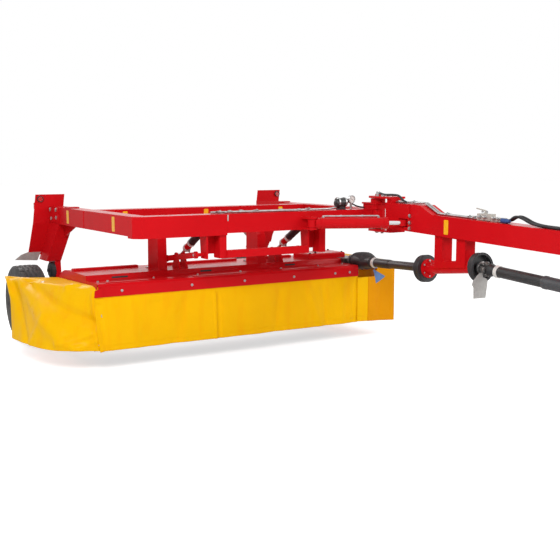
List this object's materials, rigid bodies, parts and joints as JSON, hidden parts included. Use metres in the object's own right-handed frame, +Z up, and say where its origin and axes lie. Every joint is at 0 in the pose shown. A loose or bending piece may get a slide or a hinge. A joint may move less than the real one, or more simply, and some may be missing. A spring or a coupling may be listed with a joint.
{
  "type": "trailed disc mower conditioner",
  "caption": "Side-pull trailed disc mower with roll conditioner, yellow safety curtains, swinging drawbar, drive shafts and a red carrying frame on two wheels.",
  "frame": {"origin": "on the ground, under the middle of the machine's overall length and width", "axes": "+X to the machine's left, +Y rearward, +Z up"},
  "size_m": [3.7686, 6.262, 1.494],
  "materials": {
    "red_paint": "gloss",
    "yellow_canvas": "coated",
    "tyre": "matt",
    "wheel_rim": "satin",
    "black_plastic": "satin",
    "bare_steel": "zinc plated",
    "dark_steel": "worn",
    "chrome_rod": "polished",
    "lamp_red": "gloss"
  },
  "bodies": {
    "frame": {"front_beam": "red_paint", "side_beam_right": "red_paint", "side_beam_left": "red_paint", "rear_crossbeam": "red_paint", "pivot_head": "red_paint", "hanger_posts": "red_paint", "hanger_cross_tube": "red_paint", "wheel_leg_right": "red_paint", "wheel_leg_left": "red_paint", "light_boards": "red_paint", "lamps": "lamp_red", "accumulator": "black_plastic", "gauge": "bare_steel"},
    "wheel_right": {"tyre_right": "tyre", "rim_right": "wheel_rim"},
    "wheel_left": {"tyre_left": "tyre", "rim_left": "wheel_rim"},
    "drawbar": {"drawbar_beam": "red_paint", "pto_hanger": "red_paint", "guard_discs": "black_plastic", "front_shaft": "black_plastic", "shaft_hook": "red_paint", "jack_sleeve": "red_paint", "valve_block": "bare_steel", "hydraulic_pipes": "bare_steel", "hydraulic_hoses": "black_plastic"},
    "pto_yoke": {"front_yoke": "bare_steel"},
    "hitch": {"headstock": "red_paint"},
    "jack": {"jack_leg": "bare_steel"},
    "swing_ram_barrel": {"swing_barrel": "red_paint"},
    "swing_ram_rod": {"swing_rod": "chrome_rod"},
    "cross": {"joint_cross": "bare_steel"},
    "drive_shaft": {"rear_shaft": "black_plastic"},
    "links_low": {"lower_links": "red_paint"},
    "links_high": {"upper_links": "red_paint"},
    "head": {"deck": "red_paint", "hood": "red_paint", "side_plates": "red_paint", "cutter_bar": "dark_steel", "swath_boards": "red_paint", "gearbox": "dark_steel", "drive_cover": "red_paint", "deck_posts": "red_paint", "curtain_front": "yellow_canvas", "curtain_right": "yellow_canvas", "curtain_left": "yellow_canvas", "curtain_rails": "red_paint"},
    "lift_ram_barrels": {"lift_barrels": "red_paint"},
    "lift_ram_rods": {"lift_rods": "chrome_rod"},
    "low_roll": {"roll_low": "dark_steel"},
    "high_roll": {"roll_high": "dark_steel"},
    "disc_1_body": {"disc_1": "dark_steel"},
    "disc_2_body": {"disc_2": "dark_steel"},
    "disc_3_body": {"disc_3": "dark_steel"},
    "disc_4_body": {"disc_4": "dark_steel"},
    "disc_5_body": {"disc_5": "dark_steel"},
    "disc_6_body": {"disc_6": "dark_steel"},
    "disc_7_body": {"disc_7": "dark_steel"}
  },
  "joints": [
    {"name": "wheel_right_spin", "type": "hinge", "parent": "frame", "child": "wheel_right", "pos_m": [-1.50025, 2.746, 0.385], "axis": [1, 0, 0], "continuous": true},
    {"name": "wheel_left_spin", "type": "hinge", "parent": "frame", "child": "wheel_left", "pos_m": [0.99075, 2.746, 0.385], "axis": [1, 0, 0], "continuous": true},
    {"name": "drawbar_swing", "type": "hinge", "parent": "frame", "child": "drawbar", "pos_m": [1.36175, 0.651, 1.3], "axis": [0, 0, 1], "range_deg": [-8, 25]},
    {"name": "pto_spin", "type": "hinge", "parent": "drawbar", "child": "pto_yoke", "pos_m": [1.36175, -2.5993, 0.79398], "axis": [0, -0.9979, -0.0641], "continuous": true},
    {"name": "hitch_swivel", "type": "hinge", "parent": "drawbar", "child": "hitch", "pos_m": [1.36175, -2.799, 1.15], "axis": [0, 0, 1], "range_deg": [-30, 30]},
    {"name": "jack_slide", "type": "slide", "parent": "drawbar", "child": "jack", "axis": [0, 0, 1], "range_m": [0, 0.35]},
    {"name": "swing_ram_turn", "type": "hinge", "parent": "frame", "child": "swing_ram_barrel", "pos_m": [0.50575, 0.536, 1.247], "axis": [0, 0, 1], "range_deg": [-1.6, 5]},
    {"name": "swing_ram_extend", "type": "slide", "parent": "swing_ram_barrel", "child": "swing_ram_rod", "axis": [0.899, -0.4378, 0], "range_m": [-0.06284, 0.19635]},
    {"name": "cross_turn", "type": "hinge", "parent": "drawbar", "child": "cross", "pos_m": [1.36175, -0.015, 0.84], "axis": [0, 0, 1], "range_deg": [-11.25, 3.6]},
    {"name": "drive_shaft_tilt", "type": "hinge", "parent": "cross", "child": "drive_shaft", "pos_m": [1.36175, -0.015, 0.84], "axis": [1, 0, 0], "range_deg": [-6.06, 10.1]},
    {"name": "head_lift", "type": "hinge", "parent": "frame", "child": "links_low", "pos_m": [-0.02425, 0.716, 1], "axis": [1, 0, 0], "range_deg": [-12, 20]},
    {"name": "head_level", "type": "hinge", "parent": "links_low", "child": "head", "pos_m": [-0.02425, 1.321, 0.916], "axis": [1, 0, 0], "range_deg": [-20, 12]},
    {"name": "upper_link_turn", "type": "hinge", "parent": "frame", "child": "links_high", "pos_m": [-0.02425, 0.849, 1.246], "axis": [1, 0, 0], "range_deg": [-12, 20]},
    {"name": "lift_ram_turn", "type": "hinge", "parent": "frame", "child": "lift_ram_barrels", "pos_m": [-0.02425, 0.849, 1.24], "axis": [1, 0, 0], "range_deg": [-11.1, 18.5]},
    {"name": "lift_ram_extend", "type": "slide", "parent": "lift_ram_barrels", "child": "lift_ram_rods", "axis": [0, 0.8646, -0.5025], "range_m": [-0.08116, 0.0487]},
    {"name": "roll_low_spin", "type": "hinge", "parent": "head", "child": "low_roll", "pos_m": [-0.02425, 1.761, 0.363], "axis": [1, 0, 0], "continuous": true},
    {"name": "roll_high_spin", "type": "hinge", "parent": "head", "child": "high_roll", "pos_m": [-0.02425, 1.761, 0.593], "axis": [1, 0, 0], "continuous": true},
    {"name": "disc_1_spin", "type": "hinge", "parent": "head", "child": "disc_1_body", "pos_m": [-1.12225, 1.276, 0.233], "axis": [0, 0, 1], "continuous": true},
    {"name": "disc_2_spin", "type": "hinge", "parent": "head", "child": "disc_2_body", "pos_m": [-0.75625, 1.276, 0.233], "axis": [0, 0, 1], "continuous": true},
    {"name": "disc_3_spin", "type": "hinge", "parent": "head", "child": "disc_3_body", "pos_m": [-0.39025, 1.276, 0.233], "axis": [0, 0, 1], "continuous": true},
    {"name": "disc_4_spin", "type": "hinge", "parent": "head", "child": "disc_4_body", "pos_m": [-0.02425, 1.276, 0.233], "axis": [0, 0, 1], "continuous": true},
    {"name": "disc_5_spin", "type": "hinge", "parent": "head", "child": "disc_5_body", "pos_m": [0.34175, 1.276, 0.233], "axis": [0, 0, 1], "continuous": true},
    {"name": "disc_6_spin", "type": "hinge", "parent": "head", "child": "disc_6_body", "pos_m": [0.70775, 1.276, 0.233], "axis": [0, 0, 1], "continuous": true},
    {"name": "disc_7_spin", "type": "hinge", "parent": "head", "child": "disc_7_body", "pos_m": [1.07375, 1.276, 0.233], "axis": [0, 0, 1], "continuous": true}
  ],
  "couplings": [
    {"joint": "swing_ram_turn", "follows": "drawbar_swing", "ratio": 0.2},
    {"joint": "swing_ram_extend", "follows": "drawbar_swing", "m_per_rad": 0.45},
    {"joint": "cross_turn", "follows": "drawbar_swing", "ratio": -0.45},
    {"joint": "drive_shaft_tilt", "follows": "head_lift", "ratio": 0.505},
    {"joint": "head_level", "follows": "head_lift", "ratio": -1},
    {"joint": "upper_link_turn", "follows": "head_lift", "ratio": 1},
    {"joint": "lift_ram_turn", "follows": "head_lift", "ratio": 0.925},
    {"joint": "lift_ram_extend", "follows": "head_lift", "m_per_rad": -0.2325},
    {"joint": "roll_high_spin", "follows": "roll_low_spin", "ratio": -1},
    {"joint": "disc_2_spin", "follows": "disc_1_spin", "ratio": -1},
    {"joint": "disc_3_spin", "follows": "disc_1_spin", "ratio": 1},
    {"joint": "disc_4_spin", "follows": "disc_1_spin", "ratio": -1},
    {"joint": "disc_5_spin", "follows": "disc_1_spin", "ratio": 1},
    {"joint": "disc_6_spin", "follows": "disc_1_spin", "ratio": -1},
    {"joint": "disc_7_spin", "follows": "disc_1_spin", "ratio": 1}
  ]
}
